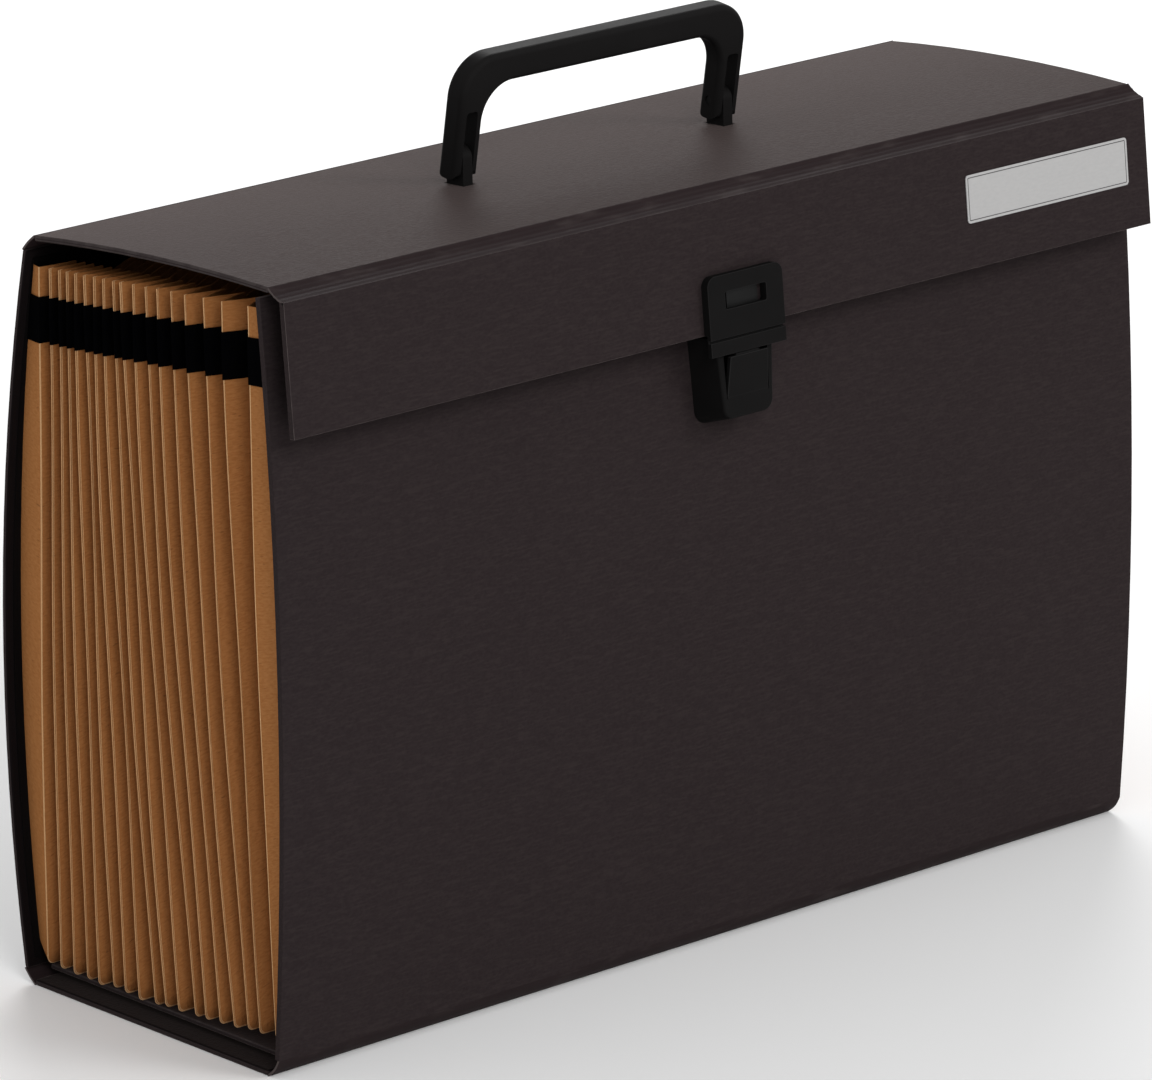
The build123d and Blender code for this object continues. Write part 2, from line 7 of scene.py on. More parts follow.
import bmesh
import bpy
from mathutils import Matrix, Vector
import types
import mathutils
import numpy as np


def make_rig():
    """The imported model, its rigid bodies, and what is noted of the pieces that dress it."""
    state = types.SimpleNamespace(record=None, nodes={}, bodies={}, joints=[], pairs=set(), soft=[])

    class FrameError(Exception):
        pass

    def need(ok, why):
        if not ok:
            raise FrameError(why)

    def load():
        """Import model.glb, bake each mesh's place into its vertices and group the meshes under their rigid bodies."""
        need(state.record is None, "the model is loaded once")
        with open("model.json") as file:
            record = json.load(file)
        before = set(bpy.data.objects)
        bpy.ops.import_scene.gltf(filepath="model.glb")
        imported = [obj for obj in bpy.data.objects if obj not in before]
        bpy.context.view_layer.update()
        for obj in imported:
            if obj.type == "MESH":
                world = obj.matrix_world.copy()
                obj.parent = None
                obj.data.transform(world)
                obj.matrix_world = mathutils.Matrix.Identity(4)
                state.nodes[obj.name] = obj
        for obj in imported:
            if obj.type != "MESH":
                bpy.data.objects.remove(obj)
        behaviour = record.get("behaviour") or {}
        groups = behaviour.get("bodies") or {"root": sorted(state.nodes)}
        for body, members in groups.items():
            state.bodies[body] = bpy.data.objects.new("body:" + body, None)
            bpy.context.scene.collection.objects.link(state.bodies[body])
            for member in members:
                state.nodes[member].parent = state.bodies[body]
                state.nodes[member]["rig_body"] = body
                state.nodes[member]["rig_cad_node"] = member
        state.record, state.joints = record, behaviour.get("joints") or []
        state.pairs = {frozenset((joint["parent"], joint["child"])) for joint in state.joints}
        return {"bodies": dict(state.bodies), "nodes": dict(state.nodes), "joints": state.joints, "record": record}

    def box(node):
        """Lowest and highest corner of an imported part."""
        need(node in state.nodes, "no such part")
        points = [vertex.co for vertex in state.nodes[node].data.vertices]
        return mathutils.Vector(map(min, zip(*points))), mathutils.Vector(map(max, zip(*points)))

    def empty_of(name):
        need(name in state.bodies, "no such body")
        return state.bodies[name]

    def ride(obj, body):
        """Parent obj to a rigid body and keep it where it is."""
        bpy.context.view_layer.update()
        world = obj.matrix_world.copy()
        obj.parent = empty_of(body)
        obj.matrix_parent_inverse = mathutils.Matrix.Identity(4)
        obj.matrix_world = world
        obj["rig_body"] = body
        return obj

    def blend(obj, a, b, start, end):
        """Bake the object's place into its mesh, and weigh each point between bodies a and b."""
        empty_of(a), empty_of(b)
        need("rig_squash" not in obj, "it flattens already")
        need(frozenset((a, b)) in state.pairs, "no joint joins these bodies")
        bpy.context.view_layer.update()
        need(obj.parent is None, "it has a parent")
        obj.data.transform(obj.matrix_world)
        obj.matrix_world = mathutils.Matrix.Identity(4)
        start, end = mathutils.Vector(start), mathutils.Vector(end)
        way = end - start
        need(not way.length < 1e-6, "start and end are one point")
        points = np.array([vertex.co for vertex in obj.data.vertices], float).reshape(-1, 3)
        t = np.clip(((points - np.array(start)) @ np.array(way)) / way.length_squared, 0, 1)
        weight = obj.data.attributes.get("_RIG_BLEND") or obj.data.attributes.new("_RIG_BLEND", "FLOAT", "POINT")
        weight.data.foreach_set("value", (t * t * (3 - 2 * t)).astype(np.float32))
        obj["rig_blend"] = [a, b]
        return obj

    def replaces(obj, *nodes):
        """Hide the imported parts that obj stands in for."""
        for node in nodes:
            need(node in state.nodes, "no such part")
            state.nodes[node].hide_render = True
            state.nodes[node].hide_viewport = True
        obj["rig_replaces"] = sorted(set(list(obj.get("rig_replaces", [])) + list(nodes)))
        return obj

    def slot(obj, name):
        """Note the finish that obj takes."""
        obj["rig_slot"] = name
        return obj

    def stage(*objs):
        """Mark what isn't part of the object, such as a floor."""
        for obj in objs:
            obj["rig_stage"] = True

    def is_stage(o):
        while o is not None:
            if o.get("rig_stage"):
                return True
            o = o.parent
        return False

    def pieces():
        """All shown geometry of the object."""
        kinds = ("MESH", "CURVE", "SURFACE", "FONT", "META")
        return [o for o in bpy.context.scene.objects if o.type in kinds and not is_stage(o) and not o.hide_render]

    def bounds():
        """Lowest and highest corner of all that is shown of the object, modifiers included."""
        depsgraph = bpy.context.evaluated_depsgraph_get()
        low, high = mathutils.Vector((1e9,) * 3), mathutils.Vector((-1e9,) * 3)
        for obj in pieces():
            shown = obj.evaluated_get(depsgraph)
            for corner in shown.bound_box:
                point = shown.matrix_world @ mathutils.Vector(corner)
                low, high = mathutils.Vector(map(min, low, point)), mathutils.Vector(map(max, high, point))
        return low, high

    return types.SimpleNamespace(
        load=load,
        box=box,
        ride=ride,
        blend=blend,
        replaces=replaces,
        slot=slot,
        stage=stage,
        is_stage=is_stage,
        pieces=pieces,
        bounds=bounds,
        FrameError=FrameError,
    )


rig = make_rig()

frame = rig.load()
cad_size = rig.bounds()

# ---- the view ----
# A long lens looks down on the box's near left corner from three metres off, so that its long sides
# hardly draw together. The camera is rolled a little.
azimuth, elevation, roll = radians(-44.8), radians(17.25), radians(1.25)
looked_at = Vector((-0.0114, -0.0021, 0.1263))
distance = 3.0
film_width, lens_length = 36.0, 287.0
to_camera = Vector((sin(azimuth) * cos(elevation), -cos(azimuth) * cos(elevation), sin(elevation)))
level = Vector((0, 0, 1)).cross(to_camera).normalized()
upright = to_camera.cross(level)
lens_right = level * cos(roll) + upright * sin(roll)
lens_up = upright * cos(roll) - level * sin(roll)
camera = bpy.data.objects.new("camera", bpy.data.cameras.new("camera"))
camera.data.sensor_width = film_width
camera.data.lens = lens_length
turned = Matrix((lens_right, lens_up, to_camera)).transposed().to_4x4()
camera.matrix_world = Matrix.Translation(looked_at + to_camera * distance) @ turned
bpy.context.scene.collection.objects.link(camera)
bpy.context.scene.camera = camera
bpy.context.scene.view_settings.view_transform = "Standard"


# ---- the floor and the light ----
# A plain pale floor and sky, and three wide soft lamps. Two stand before the box, one on its right
# and a weaker one on its left, and the strongest stands behind it and skims the lid.
class Amount:
    """A socket that gives a number; arithmetic on it adds Math nodes."""

    def __init__(self, tree, socket):
        self.tree = tree
        self.socket = socket

    def math(self, operation, first, second):
        return self.tree.node("ShaderNodeMath", {"operation": operation}, {0: first, 1: second})

    def __add__(self, other):
        return self.math("ADD", self, other)

    def __sub__(self, other):
        return self.math("SUBTRACT", self, other)

    def __rsub__(self, other):
        return self.math("SUBTRACT", other, self)

    def __mul__(self, other):
        return self.math("MULTIPLY", self, other)

    __radd__ = __add__
    __rmul__ = __mul__


class NodeTree:
    """A tree of shader nodes, with the one way in which nodes are added to it."""

    def __init__(self, tree):
        self.tree = tree

    def node(self, kind, settings=None, values=None, output=0):
        made = self.tree.nodes.new(kind)
        for name, value in (settings or {}).items():
            setattr(made, name, value)
        for socket, value in (values or {}).items():
            if isinstance(value, Amount):
                self.tree.links.new(value.socket, made.inputs[socket])
            else:
                made.inputs[socket].default_value = value
        return Amount(self, made.outputs[output])


class Finish(NodeTree):
    """A material: one shader, and the nodes that vary it over a surface."""

    def __init__(self, name, specular=0.5, **plain):
        self.material = bpy.data.materials.new(name)
        self.material.use_nodes = True
        super().__init__(self.material.node_tree)
        self.shader = self.tree.nodes["Principled BSDF"]
        self.shader.inputs["Specular IOR Level"].default_value = specular
        for socket, value in plain.items():
            self.shader.inputs[socket.replace("_", " ")].default_value = value

    def feed(self, socket, value):
        self.tree.links.new(value.socket, self.shader.inputs[socket])

    def on_object(self):
        """Places in metres, which stay with the piece when it moves."""
        return self.node("ShaderNodeTexCoord", output="Object")

    def marked(self, name):
        """What the mesh's faces were marked with under that name."""
        return self.node("ShaderNodeAttribute", {"attribute_name": name}, output="Fac")

    def noise(self, place, per_metre, detail, stretch=None):
        """Soft spots, so many to a metre; a stretch below 1 draws them out along that axis."""
        if stretch:
            place = self.node("ShaderNodeMapping", None, {"Vector": place, "Scale": stretch})
        return self.node("ShaderNodeTexNoise", None,
                         {"Vector": place, "Scale": per_metre, "Detail": detail})

    def mixed(self, share, first, second):
        """Two colours; 6, 7 and 2 are the Mix node's sockets for a colour."""
        return self.node("ShaderNodeMix", {"data_type": "RGBA"}, {0: share, 6: first, 7: second}, 2)

    def ramp(self, value, low, high):
        """0 below low and 1 above high."""
        return self.node("ShaderNodeMapRange", {"interpolation_type": "SMOOTHSTEP"},
                         {"Value": value, "From Min": low, "From Max": high})

    def bump(self, height, depth):
        return self.node("ShaderNodeBump", None,
                         {"Height": height, "Distance": depth, "Strength": 1.0})


floor_half = 6.0
floor_shape = bmesh.new()
bmesh.ops.create_grid(floor_shape, x_segments=1, y_segments=1, size=floor_half)
floor_mesh = bpy.data.meshes.new("floor")
floor_shape.to_mesh(floor_mesh)
floor = bpy.data.objects.new("floor", floor_mesh)
bpy.context.scene.collection.objects.link(floor)
floor_paint = Finish("floor_paint", Base_Color=(0.95, 0.95, 0.95, 1), Roughness=0.9)
floor_mesh.materials.append(floor_paint.material)
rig.stage(floor)

# The sky lights the box at less than the full white in which the lens and gloss see it.
sky_light = 0.58
sky = bpy.data.worlds.new("sky")
bpy.context.scene.world = sky
sky.use_nodes = True
sky_tree = NodeTree(sky.node_tree)
seen = sum(sky_tree.node("ShaderNodeLightPath", output=ray)
           for ray in ("Is Camera Ray", "Is Glossy Ray", "Is Transmission Ray"))
strength = seen + sky_light * (1 - seen)
sky.node_tree.links.new(strength.socket, sky.node_tree.nodes["Background"].inputs["Strength"])
sky.node_tree.nodes["Background"].inputs["Color"].default_value = (1, 1, 1, 1)


def lamp(name, place, across, watts):
    """A round lamp that faces the foot of the box."""
    light = bpy.data.lights.new(name, "AREA")
    light.shape = "DISK"
    light.size = across
    light.energy = watts
    held = bpy.data.objects.new(name, light)
    facing = Vector(place).to_track_quat("Z", "Y").to_matrix().to_4x4()
    held.matrix_world = Matrix.Translation(place) @ facing
    bpy.context.scene.collection.objects.link(held)


lamp("front_lamp", (1.3, -2.6, 2.2), across=1.6, watts=34.0)
lamp("left_lamp", (-1.35, -2.5, 2.1), across=1.5, watts=28.0)
lamp("back_lamp", (1.9, 2.0, 1.9), across=1.5, watts=44.0)

# ---- the cover boards ----
# Grey board wrapped in dark brown paper with a fine soft grain, and lined with black paper. The
# covering is turned round every edge. Its edge bevels are painted paler, partly for wear and
# partly as a painted highlight, most of all on the flap; its inner faces are painted near black,
# for the black lining and for painted shade inside the box.
deep_brown, soft_brown = (0.0188, 0.0137, 0.0146, 1), (0.0215, 0.0160, 0.0168, 1)
grain_brown, streak_brown = (0.0300, 0.0232, 0.0236, 1), (0.0350, 0.0272, 0.0265, 1)
worn_and_highlit_brown, lining_and_shade_black = (0.105, 0.090, 0.086, 1), (0.0060, 0.0045, 0.0048, 1)
covering = Finish("covering_paper", specular=0.008, Sheen_Weight=0.17, Sheen_Roughness=0.35,
                  Sheen_Tint=(1.0, 0.80, 0.74, 1))
at = covering.on_object()
grain = covering.ramp(covering.noise(at, 1300, 3, stretch=(0.5, 1.0, 1.0)), 0.30, 0.70)
streaks = covering.ramp(covering.noise(at, 1300, 3, stretch=(0.13, 1.0, 1.0)), 0.46, 0.66)
clouds = covering.noise(at, 12, 3)
patchy = covering.ramp(covering.noise(at, 240, 3), 0.35, 0.65)
# The bevels are painted paler in patches: partly wear, partly a painted highlight along the edges.
worn_and_highlit = covering.marked("rubbed") * (0.45 + 0.55 * patchy)
brown = covering.mixed(clouds, deep_brown, soft_brown)
brown = covering.mixed(0.45 * grain, brown, grain_brown)
brown = covering.mixed(0.32 * streaks, brown, streak_brown)
brown = covering.mixed(worn_and_highlit, brown, worn_and_highlit_brown)
# Inner faces are painted near black: the black lining, and painted shade inside the box.
covering.feed("Base Color", covering.mixed(covering.marked("inside"), brown, lining_and_shade_black))
covering.feed("Roughness", 0.46 + 0.12 * grain + 0.06 * clouds)
covering.feed("Normal", covering.bump(grain, depth=0.00003))


def mark(shape, name, faces, amount=1.0):
    """Marks faces of a shape for a finish to read, and leaves its other faces blank."""
    marks = shape.loops.layers.float_color.new(name)
    marked = set(faces)
    for face in shape.faces:
        shade = amount if face in marked else 0.0
        for corner in face.loops:
            corner[marks] = (shade, shade, shade, 1.0)


crease_angle = radians(30)


def placed(name, shape, finish):
    """The mesh of a finished bmesh as an object at the origin, with its creases left sharp."""
    for face in shape.faces:
        face.smooth = True
    for edge in shape.edges:
        edge.smooth = edge.calc_face_angle(0) < crease_angle
    mesh = bpy.data.meshes.new(name)
    shape.to_mesh(mesh)
    shape.free()
    mesh.materials.append(finish.material)
    piece = bpy.data.objects.new(name, mesh)
    bpy.context.scene.collection.objects.link(piece)
    return piece


same_place = 1e-6
flat_angle, sharp_angle = radians(0.3), radians(35)


def rounded(node, radius, finish, inside=None, wear_and_highlight=0.3):
    """A solid's skin with rounded edges marked for wear and painted highlight, and its inner face marked."""
    shape = bmesh.new()
    shape.from_mesh(frame["nodes"][node].data)
    bmesh.ops.remove_doubles(shape, verts=shape.verts, dist=same_place)
    bmesh.ops.dissolve_limit(shape, angle_limit=flat_angle, verts=shape.verts, edges=shape.edges)
    sharp = [edge for edge in shape.edges
             if edge.is_manifold and edge.calc_face_angle() > sharp_angle]
    bevel = bmesh.ops.bevel(shape, geom=sharp, offset=radius, offset_type="OFFSET", segments=3,
                            profile=0.5, affect="EDGES", clamp_overlap=True, material=-1)
    mark(shape, "rubbed", bevel["faces"], wear_and_highlight)
    if inside:
        mark(shape, "inside", [face for face in shape.faces if face.normal.dot(inside) > 0.5])
    piece = placed(node + "_skin", shape, finish)
    weigh = piece.modifiers.new("even_shading", "WEIGHTED_NORMAL")
    weigh.weight = 80
    weigh.keep_sharp = False
    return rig.replaces(piece, node)


board_edge = 0.0008
# How much each board's bevels are painted paler: wear, and a painted highlight on flap and lid.
for board, body, inside, wear_and_highlight in (("base_board", "case", Vector((0, 0, 1)), 0.05),
                                 ("back_board", "case", Vector((0, -1, 0)), 0.05),
                                 ("front_board", "front_panel", Vector((0, 1, 0)), 0.10),
                                 ("lid_board", "lid", Vector((0, 0, -1)), 0.35),
                                 ("flap_board", "flap", Vector((0, 1, 0)), 1.0)):
    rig.ride(rounded(board, board_edge, covering, inside, wear_and_highlight), body)

# ---- the folds of the cover ----
# Between two boards the covering paper, backed with another strip, runs on alone and folds. It is
# drawn in a little between the lid and the flap, and creased along its length.
shaded_trough_brown, lit_crest_brown = (0.0150, 0.0100, 0.0108, 1), (0.0260, 0.0180, 0.0184, 1)
scuffed_brown = (0.085, 0.070, 0.067, 1)
creased = Finish("folded_paper", specular=0.02)
at = creased.on_object()
lines = creased.noise(at, 900, 3, stretch=(0.05, 1.0, 1.0))
scuffs = creased.ramp(creased.noise(at, 220, 4, stretch=(0.3, 1.0, 1.0)), 0.50, 0.75)
# Crease lines are painted darker in troughs, lighter on crests, as the bump: painted shade and highlight.
brown = creased.mixed(lines, shaded_trough_brown, lit_crest_brown)
worn_and_highlit = 0.2 * scuffs + 0.8 * creased.marked("rubbed")
creased.feed("Base Color", creased.mixed(worn_and_highlit, brown, scuffed_brown))
creased.feed("Roughness", 0.50 + 0.15 * lines)
creased.feed("Normal", creased.bump(lines, depth=0.00006))


def bent_sheet(across, along, place):
    """A grid of that many faces each way, bent to place(u, v) where u and v run from 0 to 1, and
    the u and v of its vertices."""
    shape = bmesh.new()
    bmesh.ops.create_grid(shape, x_segments=across, y_segments=along, size=0.5)
    spots = {vert: (vert.co.x + 0.5, vert.co.y + 0.5) for vert in shape.verts}
    for vert, (u, v) in spots.items():
        vert.co = place(u, v)
    return shape, spots


def turned_to(shape, out):
    """Turns the faces of an open sheet to look out."""
    shape.normal_update()
    facing = sum((face.normal * face.calc_area() for face in shape.faces), Vector())
    if facing.dot(out) < 0:
        bmesh.ops.reverse_faces(shape, faces=shape.faces)


def thickened(shape, thickness):
    """Gives an open sheet its thickness behind the side that it faces."""
    shape.normal_update()
    bmesh.ops.solidify(shape, geom=shape.faces[:], thickness=thickness)


cover_half = 0.195
fold_thickness = 0.0007
ripples = 4


def fold(name, near, far, out, bulge, ripple=0.0):
    """A strip of paper from one board's edge to the next, each given in the YZ plane."""
    near, far, out = Vector((0, *near)), Vector((0, *far)), Vector((0, *out)).normalized()

    def place(u, v):
        stand = bulge * sin(pi * u) + ripple * sin(2 * pi * ripples * u)
        return near.lerp(far, u) + out * stand + Vector((cover_half * (2 * v - 1), 0, 0))

    shape, _ = bent_sheet(across=24, along=30, place=place)
    turned_to(shape, out)
    thickened(shape, fold_thickness)
    shape.normal_update()
    cut_ends = [face for face in shape.faces if abs(face.normal.x) > 0.7]
    mark(shape, "rubbed", cut_ends)
    return placed(name, shape, creased)


# Y and Z of the two boards' edges that each strip joins.
base_back, back_foot = (0.0554, 0.0), (0.0604, 0.0046)
base_front, front_foot = (-0.0554, 0.0), (-0.0604, 0.0064)
back_head, lid_back = (0.0628, 0.2440), (0.0573, 0.2495)
lid_front, flap_head = (-0.0512, 0.2558), (-0.0582, 0.2524)

base_back_fold = fold("base_back_fold", base_back, back_foot, out=(1, -1), bulge=0.0003)
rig.ride(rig.replaces(base_back_fold, "base_back_hinge"), "case")
base_front_fold = fold("base_front_fold", base_front, front_foot, out=(-1, -0.78), bulge=0.0007)
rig.blend(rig.replaces(base_front_fold, "base_front_hinge"), "case", "front_panel",
         start=(0, *base_front), end=(0, *front_foot))
lid_fold = fold("lid_fold", back_head, lid_back, out=(1, 1), bulge=0.0003)
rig.blend(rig.replaces(lid_fold, "lid_hinge_strip"), "case", "lid",
         start=(0, *back_head), end=(0, *lid_back))
flap_fold = fold("flap_fold", lid_front, flap_head, out=(-0.5, 1), bulge=-0.0005, ripple=0.00005)
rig.blend(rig.replaces(flap_fold, "flap_hinge_strip"), "lid", "flap",
         start=(0, *lid_front), end=(0, *flap_head))

# ---- the linings and the card ----
# Matt black paper glued inside the boards, and a stiff card, covered in the same paper as the
# boards, that lies under the pockets.
lining_black, lining_grey = (0.0035, 0.003, 0.003, 1), (0.006, 0.005, 0.005, 1)
lining = Finish("lining_paper", specular=0.01, Roughness=0.8)
at = lining.on_object()
lining.feed("Base Color", lining.mixed(lining.noise(at, 25, 3), lining_black, lining_grey))
lining.feed("Normal", lining.bump(lining.noise(at, 1100, 3), depth=0.00004))


def finished(node, finish):
    """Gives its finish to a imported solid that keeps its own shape."""
    frame["nodes"][node].material_slots[0].material = finish.material


for name in ("back_lining", "front_lining", "lid_lining"):
    finished(name, lining)
card_edge = 0.0004
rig.ride(rounded("floor_board", card_edge, covering), "case")

# ---- the pockets' paper ----
# One strip of brown kraft paper to a pocket, creased down its middle and bent round the file's two
# lower corners, so that it closes both ends and the bottom of the pocket.
dark_tan, light_tan = (0.265, 0.101, 0.029, 1), (0.325, 0.132, 0.041, 1)
pulp_tan, ridge_highlight_tan = (0.430, 0.194, 0.072, 1), (0.68, 0.42, 0.215, 1)
fleck_brown = (0.11, 0.040, 0.012, 1)
kraft = Finish("kraft_paper", specular=0.03, Roughness=0.75)
laid = kraft.node("ShaderNodeUVMap", {"uv_map": "laid"})
at = kraft.on_object()
pulp = kraft.ramp(kraft.noise(laid, 1100, 4, stretch=(0.55, 1.0, 1.0)), 0.30, 0.70)
flecks = kraft.ramp(kraft.noise(laid, 900, 1, stretch=(0.4, 1.0, 1.0)), 0.68, 0.76)
stains = kraft.noise(at, 28, 3)
tan = kraft.mixed(stains, dark_tan, light_tan)
tan = kraft.mixed(0.45 * pulp, tan, pulp_tan)
tan = kraft.mixed(0.45 * flecks, tan, fleck_brown)
# A painted highlight runs along each ridge, where the crease catches the light.
tan = kraft.mixed(kraft.marked("crease") * (0.65 + 0.35 * pulp), tan, ridge_highlight_tan)
kraft.feed("Base Color", tan)
kraft.feed("Normal", kraft.bump(pulp, depth=0.00005))

pockets = 18
paper_thickness = 0.00035
foot, belly, rim = 0.0060, 0.1180, 0.2475

# Y and Z of the rim at the back and front panels.
back_rim, front_rim = (0.0607, 0.2385), (-0.0450, 0.2475)

# Each of these is given at the pockets' foot, their belly and their rim.
end_x = (0.1910, 0.1905, 0.1934)
back_y = (0.0579, 0.0690, 0.0592)
file_depth = (0.1154, 0.1260, 0.1041)


def between(height, low, middle, high):
    """The curve through three values, at the pockets' foot, their belly and their rim."""
    t, m = (height - foot) / (rim - foot), (belly - foot) / (rim - foot)
    return (low * (t - m) * (t - 1) / m + middle * t * (t - 1) / (m * (m - 1))
            + high * t * (t - m) / (1 - m))


def fold_y(share, height):
    """Y of a fold: share is 0 at the back panel and 1 at the front panel, which bow away from the
    pockets between foot and rim. The pockets are widest near the front."""
    at_belly = share if share in (0, 1) else 0.065 + 0.74 * share + 0.13 * share ** 5
    at_rim = 0.72 * share + 0.28 * share ** 5
    return between(height, *(back - depth * part for back, depth, part
                             in zip(back_y, file_depth, (share, at_belly, at_rim))))


def rim_height(share):
    """How high the pockets' rim is at a fold: it rises to the front."""
    (back, low), (front, high) = back_rim, front_rim
    return low + (high - low) * (back - fold_y(share, rim)) / (back - front)


# No two pleats are alike: each leans its own way, waves a little and stands on its own foot.
chance = random.Random(7)
most_lean, full_turn, least_lift, most_lift = 0.0007, 6.3, -0.0003, 0.0005
strays = [(chance.uniform(-most_lean, most_lean), chance.uniform(0, full_turn),
           chance.uniform(least_lift, most_lift)) for pocket in range(pockets)]
lean_turn, wave_turn = 26, 35  # radians to a metre of height
ridge_wave, ridge_in = 0.0004, 0.0003
pleat_depth = 0.014
glued_in, glued_close = 0.0015, 0.0007


def pleat_point(share, height, side, short=0.0):
    """A point of the pleated end: on a ridge, in an inner fold, or at the edge glued to a panel.
    Its side is -1 or 1 at an end, and between them for a sheet, which falls short of the end."""
    half_pleat = round(2 * share * pockets)
    x = between(height, *end_x)
    y = fold_y(share, height)
    if half_pleat % 2 == 1:
        lean, phase, _ = strays[half_pleat // 2]
        y += lean * (0.6 + 0.7 * sin(height * lean_turn + phase))
        x -= ridge_wave * sin(height * wave_turn + 2 * phase) + ridge_in
    elif 0 < half_pleat < 2 * pockets:
        x -= pleat_depth
    else:
        x -= glued_in
        y += glued_close if share == 0 else -glued_close
    return Vector((side * (x - short), y, height))


crease_width = 0.00035
pleat_bow = 0.0004
columns = 8


def pleated_sheet(along, point):
    """A sheet along one pleat, given by its two edges and its ridge: point(u, v) at a u of 0, 1 and
    0.5. Its two faces bow a little outward from a crease on the ridge."""
    half = columns // 2

    def place(u, v):
        column = round(columns * u)
        if column in (0, half, columns):
            return point(column / columns, v)
        behind = column < half
        ridge, edge = point(0.5, v), point(0 if behind else 1, v)
        into = edge - ridge
        share = (abs(column - half) - 1) / (half - 1)
        if share == 0:
            return ridge + into.normalized() * crease_width
        bow = Vector((0, 1 if behind else -1, 0)) * pleat_bow * sin(pi * share)
        return ridge + into * share + bow

    return bent_sheet(columns, along, place)


def mark_ridge_highlight(shape, spots):
    """Marks the faces beside a pleat's ridge, where a highlight is painted along the crease."""
    def beside_ridge(vert):
        return abs(spots[vert][0] - 0.5) < 1.5 / columns

    mark(shape, "crease", [face for face in shape.faces if all(map(beside_ridge, face.verts))])


legs, corners, half_bottom = 30, 5, 5
lift_from, front_lift = 0.45, 0.0045
inner_lift = 0.008
ridge_bend, inner_bend = 0.0024, 0.0008


def strip_point(pocket, u, v):
    """A point of a pocket's strip: u across it, and v down one end, along the bottom and up."""
    share = (pocket - 1 + u) / pockets
    side = 1 if v > 0.5 else -1
    step = (1 - abs(2 * v - 1)) * (legs + corners + half_bottom)
    on_ridge = u == 0.5
    low = foot + front_lift * max(0, share - lift_from) / (1 - lift_from) + strays[pocket - 1][2]
    low += 0 if on_ridge else inner_lift
    bend = ridge_bend if on_ridge else inner_bend
    if step <= legs:
        head = rim_height(share)
        return pleat_point(share, head + (low + bend - head) * step / legs, side)
    corner = pleat_point(share, low + bend, side)
    turn = pi / 2 * min(1, (step - legs) / corners)
    x = corner.x - side * bend * (1 - cos(turn))
    x *= 1 - max(0, step - legs - corners) / half_bottom
    return Vector((x, corner.y, low + bend * (1 - sin(turn))))


def share_of(piece, pocket):
    """Lets a pocket's paper turn between the case and the front panel by its share of the file: the
    blend is as long, and starts where, its two edges turn by their own shares."""
    def eased(weight):
        """How far along a blend its smooth weight is reached."""
        return 0.5 - sin(asin(1 - 2 * weight) / 3)

    back, front = (pocket - 1) / pockets, pocket / pockets
    back_low, back_high = (Vector((fold_y(back, height), height)) for height in (foot, rim))
    front_low, front_high = (Vector((fold_y(front, height), height)) for height in (foot, rim))
    along = ((back_high - back_low) + (front_high - front_low)).normalized()
    square = Vector((along.y, -along.x))
    if square.dot(front_low - back_low) < 0:
        square = -square
    middle = (back_low + back_high) / 2
    apart = ((front_low + front_high) / 2 - middle).dot(square)
    whole = apart / (eased(front) - eased(back))
    start = middle - square * (eased(back) * whole)
    end = start + square * whole
    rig.blend(piece, "case", "front_panel", start=(0, start.x, start.y), end=(0, end.x, end.y))


def lay_flat(shape, spots, flat, apart):
    """Gives a sheet the UVs it had before it was bent, some way along from the last sheet's."""
    width, length = flat
    laid_out = shape.loops.layers.uv.new("laid")
    for face in shape.faces:
        for corner in face.loops:
            u, v = spots[corner.vert]
            corner[laid_out].uv = (u * width + apart, v * length)


strip_flat = (0.029, 0.860)
strips_apart = 0.1
for pocket in range(1, pockets + 1):
    shape, spots = pleated_sheet(along=2 * (legs + corners + half_bottom),
                                 point=lambda u, v: strip_point(pocket, u, v))
    lay_flat(shape, spots, strip_flat, strips_apart * pocket)
    mark_ridge_highlight(shape, spots)
    # The strip's outer side is the one that looks down along the bottom.
    shape.normal_update()
    if min(shape.faces, key=lambda face: face.calc_center_median().z).normal.z > 0:
        bmesh.ops.reverse_faces(shape, faces=shape.faces)
    thickened(shape, paper_thickness)
    piece = placed(f"pocket_{pocket:02d}", shape, kraft)
    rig.slot(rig.replaces(piece, "left_gusset", "right_gusset", "bottom_gusset"), "kraft")
    share_of(piece, pocket)

# ---- the sheets between the pockets ----
# A sheet of the same kraft paper stands in each inner fold, glued there along three sides. Its
# upper corners are cut away in a curve.
sheet_foot = 0.0160
sheet_flat = (0.354, 0.230)
sheets_apart = 0.4
sheet_short = 0.0004
most_sway = 0.0007
corner_cut, corner_share = 0.014, 0.12
for number in range(1, pockets):
    share = number / pockets
    sway = chance.uniform(-most_sway, most_sway)

    def sheet_point(u, v):
        inward = min(1, (0.5 - abs(u - 0.5)) / corner_share)
        head = rim_height(share) - corner_cut * (1 - inward) ** 2
        height = sheet_foot + (head - sheet_foot) * v
        edge = pleat_point(share, height, 2 * u - 1, sheet_short)
        return edge + Vector((0, sway * sin(pi * u) * v * v, 0))

    shape, spots = bent_sheet(across=36, along=16, place=sheet_point)
    lay_flat(shape, spots, sheet_flat, sheets_apart * number)
    thickened(shape, paper_thickness)
    piece = placed(f"sheet_{number:02d}", shape, kraft)
    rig.ride(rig.slot(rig.replaces(piece, f"divider_{number:02d}"), "kraft"), f"sheet_{number:02d}")

# ---- the tape ----
# Black gummed tape is pasted over the folded ends near their top, and is folded with them. Its
# threads run up and down.
tape_black, thread_black = (0.0006, 0.0006, 0.0008, 1), (0.0014, 0.0014, 0.0018, 1)
tape = Finish("black_tape", specular=0.003, Roughness=0.8)
at = tape.on_object()
threads = tape.noise(at, 1400, 2, stretch=(1.0, 1.0, 0.2))
tape.feed("Base Color", tape.mixed(threads, tape_black, thread_black))
tape.feed("Normal", tape.bump(threads, depth=0.00003))

